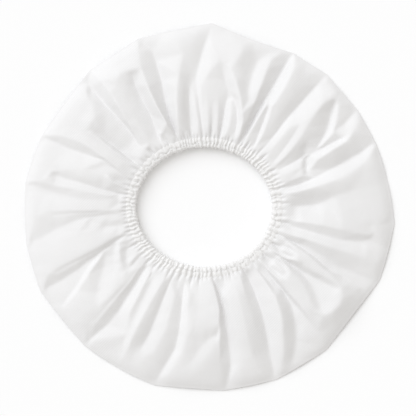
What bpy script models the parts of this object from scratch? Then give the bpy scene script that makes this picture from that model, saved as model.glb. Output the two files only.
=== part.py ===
import math
from collections import namedtuple

import bmesh
import bpy
import numpy as np

# Driving sizes, metres
OUTER_DIAMETER = 0.356
OPENING_LENGTH = 0.131
OPENING_WIDTH = 0.115
OPENING_SHIFT_X = -0.0031
OPENING_SHIFT_Y = -0.0005
CASING_WIDTH = 0.0100
ELASTIC_WIDTH = 0.0050
ELASTIC_THICKNESS = 0.0015
CLOTH_WALL = 0.0013
FIT_GAP = 0.0003
BRIM_HEIGHT = 0.0150
FOLD_HEIGHT = 0.0065
RUCHE_HEIGHT = 0.0008
RIM_THICKNESS = 0.0027

# Degrees of rim and seam that one ruche, a crest and a dip, takes up
RUCHE_SPACING_DEG = 5.0

# Rim corners, counter-clockwise from +X, and the fold line that runs in from each one.
# rim_deg, mid_deg, seam_deg: where the line crosses the rim, the middle and the seam
# radius_share: radius of the corner as a share of half the outer diameter
# swell_share: how far the edge up to the next corner bulges past its chord, same share
Corner = namedtuple("Corner", "rim_deg mid_deg seam_deg radius_share swell_share")
CORNERS = [
    Corner(8.0, 7.0, 3.0, 0.995, 0.002),
    Corner(20.5, 11.8, 9.5, 0.984, 0.000),
    Corner(33.0, 27.0, 22.0, 0.976, -0.002),
    Corner(48.0, 38.5, 31.0, 0.975, -0.002),
    Corner(60.7, 56.5, 54.0, 0.963, -0.010),
    Corner(88.7, 94.8, 93.5, 1.006, 0.003),
    Corner(112.3, 114.0, 115.0, 0.995, 0.000),
    Corner(130.7, 134.5, 136.5, 0.986, 0.003),
    Corner(156.5, 153.5, 160.0, 0.987, 0.004),
    Corner(172.3, 171.8, 171.8, 1.005, 0.004),
    Corner(191.8, 182.0, 181.5, 1.012, 0.002),
    Corner(206.7, 203.5, 198.0, 1.024, 0.003),
    Corner(228.2, 223.7, 222.0, 1.014, 0.002),
    Corner(240.5, 237.3, 233.5, 1.008, 0.002),
    Corner(253.5, 257.3, 253.0, 1.017, 0.000),
    Corner(275.0, 275.0, 273.0, 1.008, 0.003),
    Corner(292.0, 294.5, 300.0, 1.016, 0.002),
    Corner(309.8, 312.5, 314.5, 1.016, -0.002),
    Corner(337.0, 332.0, 336.0, 1.023, 0.004),
    Corner(355.0, 351.0, 351.0, 1.026, 0.002),
]

# Upper layer from the seam to the rim.
# share: way from seam to rim, height_share: of the brim height
# fold_share: how much of the folds shows there, ruche_share: how much of the ruches
UpperRow = namedtuple("UpperRow", "share height_share fold_share ruche_share")
UPPER_ROWS = [
    UpperRow(0.05, 0.74, 0.45, 0.90),
    UpperRow(0.12, 0.82, 0.75, 0.55),
    UpperRow(0.22, 0.90, 1.00, 0.20),
    UpperRow(0.34, 0.97, 1.00, 0.00),
    UpperRow(0.47, 1.00, 1.00, 0.00),
    UpperRow(0.60, 0.98, 1.00, 0.00),
    UpperRow(0.73, 0.88, 1.00, 0.00),
    UpperRow(0.84, 0.69, 0.90, 0.00),
    UpperRow(0.92, 0.46, 0.60, 0.00),
]
# Rows of the upper layer, seam first, that its inside face repeats
INSIDE_ROWS = (0, 2, 4, 6, 8, 9)

# Lower layer from the rim to the seam, flat where it rests.
# lift_share: of the brim height, groove_share: how much the folds above hollow it
LowerRow = namedtuple("LowerRow", "share lift_share groove_share ruche_share")
LOWER_ROWS = [
    LowerRow(0.60, 0.00, 0.15, 0.00),
    LowerRow(0.25, 0.00, 0.35, 0.00),
    LowerRow(0.08, 0.03, 0.35, 0.60),
    LowerRow(0.00, 0.07, 0.00, 1.00),
]
# Only folds higher than this share of the fold height hollow the lower layer
GROOVE_START_SHARE = 0.45

# Ridges of the upper layer: a line from start to end with a flank on each side.
# start_share and end_share: way from seam to rim, bow_deg: sideways bend half way
# left_deg: width of the flank on the clockwise side, right_deg: of the other
# height_share: of the fold height
Fold = namedtuple("Fold", "start_share start_deg end_share end_deg bow_deg "
                  "left_deg right_deg height_share")
RIDGES = [
    Fold(0.00, 9.5, 1.00, 20.5, -3.0, 10.0, 6.0, 1.00),
    Fold(0.30, 18.3, 0.74, 26.5, -0.5, 4.2, 5.0, 0.85),
    Fold(0.50, 28.0, 0.88, 39.5, 0.0, 3.5, 4.0, 0.55),
    Fold(0.00, 31.0, 1.00, 47.5, -1.5, 8.0, 7.0, 1.10),
    Fold(0.00, 42.5, 0.50, 45.5, 0.0, 5.0, 4.5, 0.60),
    Fold(0.08, 57.5, 1.00, 60.5, -1.5, 11.0, 4.5, 0.95),
    Fold(0.00, 51.5, 0.47, 58.5, -0.3, 5.0, 3.0, 0.60),
    Fold(0.00, 65.3, 0.86, 66.8, 0.0, 5.0, 7.0, 1.20),
    Fold(0.05, 66.8, 0.70, 83.5, -0.7, 8.0, 5.5, 0.80),
    Fold(0.00, 82.0, 0.40, 86.0, 0.0, 4.0, 4.5, 0.45),
    Fold(0.00, 93.5, 0.50, 95.2, 0.3, 4.0, 6.0, 0.60),
    Fold(0.00, 112.5, 1.00, 91.0, 1.3, 7.0, 9.0, 1.00),
    Fold(0.00, 116.0, 1.00, 112.5, 2.7, 6.0, 7.0, 1.05),
    Fold(0.00, 135.5, 0.78, 124.5, -0.5, 7.0, 5.0, 0.90),
    Fold(0.20, 136.5, 1.00, 131.2, 1.0, 5.0, 5.0, 0.55),
    Fold(0.00, 148.0, 0.75, 148.5, 0.0, 3.0, 7.5, 0.60),
    Fold(0.00, 160.0, 1.00, 156.3, -4.8, 8.0, 4.0, 0.80),
    Fold(0.00, 171.8, 1.00, 172.3, -0.3, 4.0, 5.0, 0.75),
    Fold(0.00, 180.5, 1.00, 187.0, -2.0, 7.0, 5.0, 0.95),
    Fold(0.00, 196.5, 1.00, 206.3, 0.0, 9.0, 6.0, 1.00),
    Fold(0.18, 201.0, 0.93, 214.2, 0.5, 4.0, 8.0, 0.75),
    Fold(0.00, 212.5, 1.00, 228.2, 2.8, 7.0, 7.0, 1.10),
    Fold(0.00, 229.0, 0.75, 238.0, 1.0, 8.0, 3.5, 0.70),
    Fold(0.00, 237.3, 1.00, 240.6, -0.3, 4.5, 5.5, 1.05),
    Fold(0.00, 246.5, 0.80, 248.5, 3.0, 6.0, 6.0, 0.70),
    Fold(0.00, 262.0, 1.00, 257.0, 3.5, 7.0, 10.0, 0.80),
    Fold(0.00, 271.5, 1.00, 274.2, 2.9, 9.0, 4.0, 1.10),
    Fold(0.00, 293.5, 1.00, 290.0, -3.9, 10.0, 7.0, 0.85),
    Fold(0.00, 307.3, 1.00, 292.5, 2.4, 8.0, 7.0, 1.10),
    Fold(0.25, 312.8, 1.00, 309.8, 0.8, 8.0, 7.0, 0.80),
    Fold(0.00, 317.0, 0.82, 320.0, 0.0, 5.5, 8.0, 1.05),
    Fold(0.00, 331.5, 0.82, 326.0, 0.0, 7.0, 8.0, 1.05),
    Fold(0.00, 343.3, 0.95, 341.0, 0.5, 6.0, 6.0, 0.80),
    Fold(0.00, 354.0, 0.86, 351.0, -0.8, 6.0, 9.0, 0.95),
]
# Sunk pockets, same columns
POCKETS = [
    Fold(0.12, 90.5, 0.68, 85.5, 0.0, 5.0, 5.0, 0.50),
    Fold(0.10, 143.5, 0.62, 143.5, 0.0, 5.0, 4.5, 0.60),
    Fold(0.02, 168.6, 0.78, 168.8, 0.0, 3.5, 3.5, 0.40),
    Fold(0.02, 325.5, 0.60, 325.0, 0.0, 4.0, 4.0, 0.50),
]
# Rounding of the crest as a share of the flank, and how sharply two folds join
CREST_ROUNDING = 0.15
JOIN_POWER = 3.0
# Way over which a fold that stops short of seam or rim rises and dies out
FOLD_RISE_SHARE = 0.14

# Casing cross-section, from the seam over the top round the opening side.
# out_share: way from the opening edge to the seam, up_share: of the half height
CasingRow = namedtuple("CasingRow", "out_share up_share ruche_share")
CASING_ROWS = [
    CasingRow(0.46, 0.90, 1.00),
    CasingRow(0.09, 0.66, 0.60),
    CasingRow(0.00, 0.00, -0.60),
    CasingRow(0.09, -0.66, 0.30),
    CasingRow(0.46, -1.00, 0.00),
]
# Puff of the ruched casing over its elastic, as a share of its wall
CASING_PUFF_SHARE = 0.90

CLOTH_COLOUR = (0.86, 0.86, 0.855, 1.0)
CASING_COLOUR = (0.84, 0.84, 0.835, 1.0)
ELASTIC_COLOUR = (0.80, 0.80, 0.79, 1.0)


def smooth(value):
    value = np.clip(value, 0.0, 1.0)
    return value * value * (3.0 - 2.0 * value)


def opening_radius(angle, half_length, half_width):
    """Distance from the rim centre to an ellipse shifted by the opening shift."""
    cosine = np.cos(angle)
    sine = np.sin(angle)
    square = (cosine / half_length) ** 2 + (sine / half_width) ** 2
    middle = (cosine * OPENING_SHIFT_X / half_length ** 2
              + sine * OPENING_SHIFT_Y / half_width ** 2)
    rest = (OPENING_SHIFT_X / half_length) ** 2 + (OPENING_SHIFT_Y / half_width) ** 2 - 1.0
    return (middle + np.sqrt(middle * middle - square * rest)) / square


def band_radius(angle, offset):
    """Curve that lies offset outside the opening edge."""
    return opening_radius(angle, OPENING_LENGTH / 2 + offset, OPENING_WIDTH / 2 + offset)


def polar(angle, radius):
    return np.stack([radius * np.cos(angle), radius * np.sin(angle)], axis=-1)


def chord_radius(turn, span, first, last):
    """Radius at turn on the straight edge between two corners span apart."""
    return first * last * np.sin(span) / (first * np.sin(turn) + last * np.sin(span - turn))


# Angles at rim, middle and seam and the rim radius, one entry for each column of points
Columns = namedtuple("Columns", "rim_deg mid_deg seam_deg rim_radius")


def build_columns():
    """Columns between the corners, an even number from each corner to the next."""
    rows = []
    count = len(CORNERS)
    for index, corner in enumerate(CORNERS):
        following = CORNERS[(index + 1) % count]
        lap = 360.0 if index == count - 1 else 0.0
        rim_span = following.rim_deg + lap - corner.rim_deg
        mid_span = following.mid_deg + lap - corner.mid_deg
        seam_span = following.seam_deg + lap - corner.seam_deg
        steps = 2 * max(1, round((rim_span + seam_span) / 2 / RUCHE_SPACING_DEG))
        for step in range(steps):
            part = step / steps
            radius = chord_radius(math.radians(rim_span * part), math.radians(rim_span),
                                  corner.radius_share, following.radius_share)
            radius += corner.swell_share * math.sin(math.pi * part)
            rows.append((corner.rim_deg + rim_span * part,
                         corner.mid_deg + mid_span * part,
                         corner.seam_deg + seam_span * part,
                         radius * OUTER_DIAMETER / 2))
    return Columns(*np.array(rows).T)


def column_degrees(columns, share):
    """Angle of every column at a share of the way out, through its three given angles."""
    bend = columns.mid_deg - (columns.rim_deg + columns.seam_deg) / 2
    straight = columns.seam_deg + (columns.rim_deg - columns.seam_deg) * share
    return straight + 4 * bend * share * (1 - share)


def column_points(columns, share, inset=0.0):
    """Plan position of every column at a share of the way from seam to rim."""
    angle = np.radians(column_degrees(columns, share))
    seam = band_radius(np.radians(columns.seam_deg), CASING_WIDTH) + FIT_GAP / 2
    radius = seam + (columns.rim_radius - seam) * share - inset
    return polar(angle, radius)


def fold_lift(rows, degrees, share):
    """Smooth largest of all the folds at one share of the way out."""
    total = np.zeros_like(degrees)
    for fold in rows:
        along = (share - fold.start_share) / (fold.end_share - fold.start_share)
        inside = min(max(along, 0.0), 1.0)
        line = (fold.start_deg + (fold.end_deg - fold.start_deg) * inside
                + 4 * fold.bow_deg * inside * (1 - inside))
        aside = (degrees - line + 180.0) % 360.0 - 180.0
        width = np.where(aside < 0, -aside / fold.left_deg, aside / fold.right_deg)
        rounded = np.sqrt(width ** 2 + CREST_ROUNDING ** 2) - CREST_ROUNDING
        full = math.sqrt(1 + CREST_ROUNDING ** 2) - CREST_ROUNDING
        flank = np.clip(1 - rounded / full, 0, 1)
        rise = 1.0
        if fold.start_share > 0:
            rise = smooth((share - fold.start_share) / FOLD_RISE_SHARE + 0.1)
        fall = 1.0
        if fold.end_share < 1:
            fall = smooth((fold.end_share - share) / FOLD_RISE_SHARE + 0.1)
        total += (flank * fold.height_share * rise * fall) ** JOIN_POWER
    return total ** (1 / JOIN_POWER)


def ruches(columns):
    """Plus one on every crest column and minus one on every dip column."""
    return np.where(np.arange(len(columns.rim_deg)) % 2 == 0, 1.0, -1.0)


def casing_half_height():
    return (ELASTIC_WIDTH / 2 + 2 * FIT_GAP + CLOTH_WALL * (1 + CASING_PUFF_SHARE)
            + RUCHE_HEIGHT)


def upper_seam_height(columns):
    """Top of both cloth edges where brim and casing meet."""
    above = ELASTIC_WIDTH / 2 + 2 * FIT_GAP + CLOTH_WALL * 0.35
    return casing_half_height() + above + RUCHE_HEIGHT * 0.6 * ruches(columns)


def lower_seam_height(columns):
    """Underside of both cloth edges where brim and casing meet."""
    edge = LOWER_ROWS[-1]
    return (BRIM_HEIGHT * edge.lift_share
            + RUCHE_HEIGHT * 0.5 * edge.ruche_share * (1 + ruches(columns)))


def with_height(points, height):
    height = np.broadcast_to(height, len(points))
    return np.column_stack([points, height])


def upper_layer(columns):
    """Outside points of the upper layer, one row of points for each named share."""
    layer = [with_height(column_points(columns, 0.0), upper_seam_height(columns))]
    for row in UPPER_ROWS:
        degrees = column_degrees(columns, row.share)
        lift = fold_lift(RIDGES, degrees, row.share) - fold_lift(POCKETS, degrees, row.share)
        level = (BRIM_HEIGHT * row.height_share + FOLD_HEIGHT * row.fold_share * lift
                 + RUCHE_HEIGHT * row.ruche_share * ruches(columns))
        layer.append(with_height(column_points(columns, row.share), level))
    return layer


def steepness(layer, row):
    """Length of the slope vector of a layer at one row, the steeper side of each point."""
    here = layer[row]
    around = np.zeros(len(here))
    for step in (-1, 1):
        other = np.roll(here, step, axis=0)
        run = np.linalg.norm((other - here)[:, :2], axis=1)
        around = np.maximum(around, np.abs(other[:, 2] - here[:, 2]) / run)
    out = np.zeros(len(here))
    for near in (row - 1, row + 1):
        if 0 <= near < len(layer):
            run = np.linalg.norm((layer[near] - here)[:, :2], axis=1)
            out = np.maximum(out, np.abs(layer[near][:, 2] - here[:, 2]) / run)
    return np.sqrt(around ** 2 + out ** 2)


def inside_row(layer, row):
    """Inside face of the upper layer under one row, a wall below every row nearby."""
    slope = np.minimum(steepness(layer, row), 1.2)
    drop = CLOTH_WALL * np.sqrt(1 + slope ** 2)
    for middle in (row - 1, row + 1):
        if 0 < middle < len(layer) - 1 and middle not in INSIDE_ROWS:
            sag = (layer[middle - 1][:, 2] + layer[middle + 1][:, 2]) / 2 - layer[middle][:, 2]
            drop = drop + np.maximum(sag, 0.0)
    points = layer[row].copy()
    points[:, 2] -= drop
    return points


def lower_layer(columns):
    """Underside points of the lower layer, rim first."""
    layer = []
    for row in LOWER_ROWS[:-1]:
        folds = fold_lift(RIDGES, column_degrees(columns, row.share), row.share)
        hollow = np.maximum(folds - GROOVE_START_SHARE, 0.0)
        level = (BRIM_HEIGHT * row.lift_share + FOLD_HEIGHT * row.groove_share * hollow
                 + RUCHE_HEIGHT * 0.5 * row.ruche_share * (1 + ruches(columns)))
        layer.append(with_height(column_points(columns, row.share), level))
    layer.append(with_height(column_points(columns, 0.0), lower_seam_height(columns)))
    return layer


def brim_rings(columns):
    """Closed section of the brim: over the top, round the rim fold and back inside."""
    upper = upper_layer(columns)
    rim_top = with_height(column_points(columns, 1.0, RIM_THICKNESS * 0.4), RIM_THICKNESS)
    rim_nose = with_height(column_points(columns, 1.0), RIM_THICKNESS / 2)
    rim_foot = with_height(column_points(columns, 1.0, RIM_THICKNESS * 0.4), 0.0)
    rim_inside = with_height(column_points(columns, 1.0, RIM_THICKNESS + CLOTH_WALL / 2),
                             CLOTH_WALL * 1.04)
    lower = lower_layer(columns)
    lower_inside = []
    for row in reversed(lower):
        raised = row.copy()
        raised[:, 2] += CLOTH_WALL
        lower_inside.append(raised)
    inside = []
    for row in reversed(INSIDE_ROWS):
        points = inside_row(upper + [rim_top], row)
        if row == 0:
            points[:, 2] = upper[0][:, 2] - CLOTH_WALL
        inside.append(points)
    return upper + [rim_top, rim_nose, rim_foot] + lower + lower_inside + [rim_inside] + inside


def casing_rings(columns):
    """Closed section of the casing: a channel round the elastic, open toward the brim."""
    angle = np.radians(columns.seam_deg)
    wave = ruches(columns)
    half = casing_half_height()
    seam = polar(angle, band_radius(angle, CASING_WIDTH) - FIT_GAP / 2)
    top = with_height(seam, upper_seam_height(columns))
    foot = with_height(seam, lower_seam_height(columns))
    outside = [top]
    for row in CASING_ROWS:
        ruche = RUCHE_HEIGHT * row.ruche_share
        offset = CASING_WIDTH * row.out_share
        level = half + half * row.up_share
        if row.up_share == 0:
            offset = offset + ruche * wave
        elif row.up_share > 0:
            level = level + ruche * wave
        else:
            level = level - ruche * (1 + wave)
        plan = polar(angle, band_radius(angle, offset))
        outside.append(with_height(plan, np.maximum(level, 0.0)))
    outside.append(foot)
    cavity = polar(angle, band_radius(angle, CLOTH_WALL + RUCHE_HEIGHT * 0.4))
    reach = ELASTIC_WIDTH / 2 + 2 * FIT_GAP
    foot_inside = foot.copy()
    foot_inside[:, 2] += CLOTH_WALL
    top_inside = top.copy()
    top_inside[:, 2] -= CLOTH_WALL
    inside = [foot_inside, with_height(cavity, half - reach),
              with_height(cavity, half + reach), top_inside]
    return outside + inside


def elastic_rings(columns):
    """Plain band standing on edge inside the casing."""
    angle = np.radians(columns.seam_deg[::2])
    half = casing_half_height()
    near = CLOTH_WALL + RUCHE_HEIGHT * 0.4 + FIT_GAP
    inner = polar(angle, band_radius(angle, near))
    outer = polar(angle, band_radius(angle, near + ELASTIC_THICKNESS))
    low = half - ELASTIC_WIDTH / 2
    high = half + ELASTIC_WIDTH / 2
    return [with_height(inner, low), with_height(inner, high),
            with_height(outer, high), with_height(outer, low)]


def rim_centre(columns):
    """Middle of the rim's box, so that the part's origin can sit under it."""
    plan = column_points(columns, 1.0)
    return (plan.min(axis=0) + plan.max(axis=0)) / 2


def make_material(name, colour, roughness):
    material = bpy.data.materials.new(name)
    material.use_nodes = True
    shader = material.node_tree.nodes["Principled BSDF"]
    shader.inputs["Base Color"].default_value = colour
    shader.inputs["Roughness"].default_value = roughness
    return material


def make_piece(name, rings, centre, material):
    """Closed body from rings of points: joined ring to ring and column to column."""
    mesh = bmesh.new()
    grid = []
    for ring in rings:
        grid.append([mesh.verts.new((x - centre[0], y - centre[1], z)) for x, y, z in ring])
    levels = len(grid)
    count = len(grid[0])
    for level in range(levels):
        for column in range(count):
            after = (column + 1) % count
            above = (level + 1) % levels
            mesh.faces.new((grid[level][column], grid[level][after],
                            grid[above][after], grid[above][column]))
    bmesh.ops.triangulate(mesh, faces=mesh.faces[:], quad_method="SHORT_EDGE")
    bmesh.ops.recalc_face_normals(mesh, faces=mesh.faces[:])
    data = bpy.data.meshes.new(name)
    mesh.to_mesh(data)
    mesh.free()
    data.materials.append(material)
    piece = bpy.data.objects.new(name, data)
    bpy.context.collection.objects.link(piece)
    return piece


for old in list(bpy.data.objects):
    bpy.data.objects.remove(old)

all_columns = build_columns()
box_centre = rim_centre(all_columns)
make_piece("brim_cloth", brim_rings(all_columns), box_centre,
           make_material("white_gathered_cloth", CLOTH_COLOUR, 0.9))
make_piece("elastic_casing", casing_rings(all_columns), box_centre,
           make_material("white_ruched_cloth", CASING_COLOUR, 0.9))
make_piece("elastic_band", elastic_rings(all_columns), box_centre,
           make_material("white_elastic", ELASTIC_COLOUR, 0.7))
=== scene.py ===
import math
from collections import namedtuple

import bmesh
import bpy
import numpy as np
from mathutils import Matrix, Vector, geometry


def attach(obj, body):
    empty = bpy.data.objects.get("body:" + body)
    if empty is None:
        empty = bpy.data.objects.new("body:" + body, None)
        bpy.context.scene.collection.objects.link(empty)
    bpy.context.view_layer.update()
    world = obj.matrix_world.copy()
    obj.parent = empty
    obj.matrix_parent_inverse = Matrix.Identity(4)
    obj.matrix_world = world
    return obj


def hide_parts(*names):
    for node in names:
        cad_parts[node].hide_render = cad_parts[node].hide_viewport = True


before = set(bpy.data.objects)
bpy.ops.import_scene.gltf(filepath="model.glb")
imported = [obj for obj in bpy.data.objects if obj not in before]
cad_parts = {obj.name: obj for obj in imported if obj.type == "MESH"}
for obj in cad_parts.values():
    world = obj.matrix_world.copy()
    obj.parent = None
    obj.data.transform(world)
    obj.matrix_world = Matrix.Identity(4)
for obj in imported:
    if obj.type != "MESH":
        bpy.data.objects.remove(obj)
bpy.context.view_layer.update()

# The ring lies flat: x to the photo's right, y to its top, z up from the floor.
# Angles are in degrees, counter-clockwise from x, and share runs from the seam, 0, to the rim, 1.

ringSizes = {
    "outerDiameter": 0.356,
    "openingLength": 0.131,
    "openingWidth": 0.115,
    "openingShiftX": -0.0031,
    "openingShiftY": -0.0005,
    "casingWidth": 0.0100,
}

# Rim corners, and how far the rim swells out on the way to the next one
Corner = namedtuple("Corner", "rimDeg radiusShare swellShare")
corners = [Corner(*row) for row in (
    (8.0, 0.995, 0.002), (20.5, 0.984, 0.000), (33.0, 0.976, -0.002), (48.0, 0.975, -0.002),
    (60.7, 0.963, -0.010), (88.7, 1.006, 0.003), (112.3, 0.995, 0.000), (130.7, 0.986, 0.003),
    (156.5, 0.987, 0.004), (172.3, 1.005, 0.004), (191.8, 1.012, 0.002), (206.7, 1.024, 0.003),
    (228.2, 1.014, 0.002), (240.5, 1.008, 0.002), (253.5, 1.017, 0.000), (275.0, 1.008, 0.003),
    (292.0, 1.016, 0.002), (309.8, 1.016, -0.002), (337.0, 1.023, 0.004), (355.0, 1.026, 0.002),
)]


def smoothStep(value):
    value = np.clip(value, 0.0, 1.0)
    return value * value * (3.0 - 2.0 * value)


def bandRadius(degrees, offset):
    # distance from the rim's centre to the curve that lies offset outside the opening's edge
    angle = np.radians(degrees)
    halfLength = ringSizes["openingLength"] / 2 + offset
    halfWidth = ringSizes["openingWidth"] / 2 + offset
    shiftX, shiftY = ringSizes["openingShiftX"], ringSizes["openingShiftY"]
    square = (np.cos(angle) / halfLength) ** 2 + (np.sin(angle) / halfWidth) ** 2
    middle = np.cos(angle) * shiftX / halfLength ** 2 + np.sin(angle) * shiftY / halfWidth ** 2
    rest = (shiftX / halfLength) ** 2 + (shiftY / halfWidth) ** 2 - 1.0
    return (middle + np.sqrt(middle * middle - square * rest)) / square


def rimCentre():
    angle = np.radians([corner.rimDeg for corner in corners])
    radius = np.array([corner.radiusShare for corner in corners]) * ringSizes["outerDiameter"] / 2
    x, y = radius * np.cos(angle), radius * np.sin(angle)
    return (x.min() + x.max()) / 2, (y.min() + y.max()) / 2


centreX, centreY = rimCentre()


weldDistance = 1e-7        # sheets' open sides that are this near are one


def smoothMesh(work, data):
    for face in work.faces:
        face.smooth = True
    work.to_mesh(data)
    work.free()
    return data


def placed(name, data):
    made = bpy.data.objects.new(name, data)
    bpy.context.collection.objects.link(made)
    return made


def drapedSheet(name, grid):
    # a flat grid of faces laid out along the ring and round its section, each vertex then moved
    # to its place in grid (section point, column, xyz); the grid's open sides meet and join
    points, columns = grid.shape[:2]
    work = bmesh.new()
    bmesh.ops.create_grid(work, x_segments=columns, y_segments=points, size=0.5, calc_uvs=True)
    data = smoothMesh(work, bpy.data.meshes.new(name))
    places = np.empty(len(data.vertices) * 3)
    data.vertices.foreach_get("co", places)
    places = places.reshape(-1, 3)
    column = np.rint((places[:, 0] + 0.5) * columns).astype(int) % columns
    point = np.rint((places[:, 1] + 0.5) * points).astype(int) % points
    data.vertices.foreach_set("co", grid[point, column].ravel())
    work = bmesh.new()
    work.from_mesh(data)
    bmesh.ops.remove_doubles(work, verts=work.verts[:], dist=weldDistance)
    bmesh.ops.recalc_face_normals(work, faces=work.faces[:])
    return smoothMesh(work, data)


def addPiece(name, data, material):
    piece = placed(name, data)
    piece.data.materials.append(material)
    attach(piece, "root")
    return piece


def ringPlace(degrees, radius, height):
    angle = np.radians(degrees)
    return np.stack(np.broadcast_arrays(radius * np.cos(angle) - centreX,
                                        radius * np.sin(angle) - centreY, height), axis=-1)


def smoothRows(values, rounds):
    # binomial smoothing along the rows, whose ends stay
    for _ in range(rounds):
        middle = (values[:-2] + 2 * values[1:-1] + values[2:]) / 4
        values = np.concatenate([values[:1], middle, values[-1:]])
    return values


# Tucks: tight creases where the cloth is gathered into the seam, the same on the casing and on the
# brim's edge: degrees, depth, and how much of the brim's width it reaches across
tuckPlaces = [
    (2.5, 0.6, 0.10), (6.5, 0.5, 0.06), (9.0, 0.4, 0.04), (14.5, 1.0, 0.13), (17.6, 0.6, 0.08),
    (21.0, 0.5, 0.06), (24.5, 0.6, 0.08), (29.0, 1.0, 0.08), (33.0, 0.4, 0.04), (36.0, 0.6, 0.05),
    (38.6, 0.5, 0.05), (41.5, 0.9, 0.11), (46.5, 0.6, 0.14), (49.0, 0.9, 0.05), (52.0, 0.5, 0.04),
    (54.6, 0.6, 0.08), (57.2, 1.0, 0.10), (60.8, 0.6, 0.08), (63.5, 0.8, 0.12), (69.0, 0.6, 0.03),
    (72.5, 0.9, 0.06), (74.6, 0.5, 0.06), (77.0, 0.5, 0.03), (80.4, 1.0, 0.15), (83.6, 0.5, 0.05),
    (87.2, 1.0, 0.16), (90.4, 0.5, 0.05), (94.0, 1.0, 0.09), (97.6, 0.5, 0.05), (100.4, 0.6, 0.06),
    (102.8, 1.0, 0.12), (105.4, 0.6, 0.06), (107.8, 0.8, 0.09), (110.4, 0.5, 0.05),
    (113.0, 0.6, 0.06), (116.0, 0.5, 0.05), (121.6, 0.9, 0.10), (124.0, 0.5, 0.05),
    (127.0, 0.6, 0.05), (131.0, 0.5, 0.05), (135.4, 0.9, 0.09), (140.6, 0.5, 0.05),
    (144.4, 0.6, 0.08), (149.0, 0.7, 0.12), (152.4, 0.6, 0.11), (156.6, 0.6, 0.05),
    (161.0, 0.5, 0.06), (165.4, 0.9, 0.13), (168.6, 0.7, 0.07), (171.6, 1.0, 0.14),
    (174.2, 0.8, 0.06), (177.6, 1.0, 0.09), (180.6, 0.9, 0.06), (183.2, 0.8, 0.08),
    (185.6, 0.6, 0.06), (188.2, 0.5, 0.05), (191.6, 0.7, 0.08), (194.6, 0.9, 0.06),
    (197.4, 0.9, 0.08), (200.6, 0.6, 0.09), (204.0, 0.5, 0.05), (207.6, 1.0, 0.13),
    (210.0, 0.6, 0.08), (212.8, 0.9, 0.06), (216.0, 0.8, 0.08), (219.4, 0.6, 0.05),
    (222.6, 1.0, 0.12), (226.2, 0.5, 0.05), (228.4, 0.8, 0.12), (232.2, 0.9, 0.07),
    (235.2, 0.6, 0.07), (239.6, 0.7, 0.12), (243.6, 0.8, 0.12), (248.6, 1.0, 0.08),
    (253.2, 0.5, 0.05), (257.6, 1.0, 0.11), (260.2, 0.6, 0.05), (263.6, 1.0, 0.08),
    (266.6, 0.7, 0.05), (270.2, 0.5, 0.04), (274.6, 1.0, 0.09), (279.6, 0.5, 0.04),
    (282.8, 0.7, 0.07), (285.6, 0.5, 0.04), (288.6, 0.8, 0.06), (291.8, 0.5, 0.04),
    (296.2, 0.8, 0.05), (299.6, 0.9, 0.09), (304.2, 0.5, 0.04), (309.0, 0.9, 0.08),
    (314.2, 0.8, 0.06), (319.8, 1.0, 0.07), (325.4, 0.7, 0.06), (330.6, 1.0, 0.08),
    (334.6, 0.5, 0.04), (338.6, 0.7, 0.10), (343.4, 0.5, 0.05), (348.4, 0.9, 0.12),
    (352.6, 0.6, 0.06), (357.6, 0.5, 0.05),
]

crimpLook = {              # finer crimps, on the casing alone
    "count": 140,
    "wanderShare": 0.75,
    "shallowest": 0.3,
    "shiftDeg": 0.5,
    "seed": 11,
}
creaseSharpness = 1.5      # of tucks and crimps; 2 would be rounder
puffShare = 0.25           # how far the cloth stands up between them, as a share of their depth


class TuckRow:
    # creases all round the ring, each with a depth and a reach of its own
    def __init__(self, places):
        self.degs, self.depth, self.reach = np.array(places).T

    def depthAt(self, degrees, share, width):
        # 0 to 1, from the creases on both sides; width is in degrees
        turned = np.mod(degrees, 360)
        after = np.searchsorted(self.degs, turned)
        sides = []
        for crease in ((after - 1) % len(self.degs), after % len(self.degs)):
            away = np.abs((turned - self.degs[crease] + 180) % 360 - 180)
            fade = 1 - smoothStep(share / self.reach[crease])
            sides.append(self.depth[crease] * fade * np.exp(-(away / width) ** creaseSharpness))
        return np.maximum(*sides)


def crimpPlaces(look):
    chance = np.random.default_rng(look["seed"])
    steps = chance.uniform(1 - look["wanderShare"], 1 + look["wanderShare"], look["count"])
    degs = np.cumsum(steps) / steps.sum() * 360 - look["shiftDeg"]
    depths = chance.uniform(look["shallowest"], 1.0, look["count"])
    return [(deg, depth, 1.0) for deg, depth in zip(degs, depths)]


tucks = TuckRow(tuckPlaces)
crimps = TuckRow(crimpPlaces(crimpLook))
print("tucks", len(tucks.degs), "crimps", len(crimps.degs))


# The brim: one gathered double layer of cloth, folded over at the rim

brimLook = {
    "columns": 900,
    "upperRows": 68,
    "upperCrowding": 1.12,    # above 1, rows lie closer near the seam
    "rimRows": 6,
    "lowerRows": 12,
    "lowerCrowding": 1.5,
    "brimHeight": 0.0130,
    "profileRounds": 3,
    "tuckDepth": 0.0028,
    "underTuckDepth": 0.0016,  # on the lower layer
    "underTuckStretch": 2,    # how much further they reach there
    "tuckShare": 0.12,        # how far out they narrow, and by how much
    "tuckNarrowing": 0.5,
    "tuckWidthDeg": 1.3,      # at the seam
    "rimThickness": 0.0013,
    "rimLiftPerDegree": 0.00007,
    "rimLiftFrom": 0.8,       # share where the lower layer starts to lift with the rim
    "rimLiftBand": 0.2,
    "hollows": [(0, 0), (0.1, 0.8), (0.25, 0.8), (0.6, 0.4), (1, 0)],  # share, share of the folds
    "edgeRise": [(0, 0.0012), (0.08, 0.0005), (0.2, 0)],               # share, height
    "clothThickness": 0.0006,
    "edgeTuck": 0.0012,       # how far the gathered edge goes in under the casing, and up or down
    "insideReach": 0.06,      # how far round the inside looks for the upper layer's lowest spot
    "insideSteps": 3,
    "insideGapWalls": 1.5,
}

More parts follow.
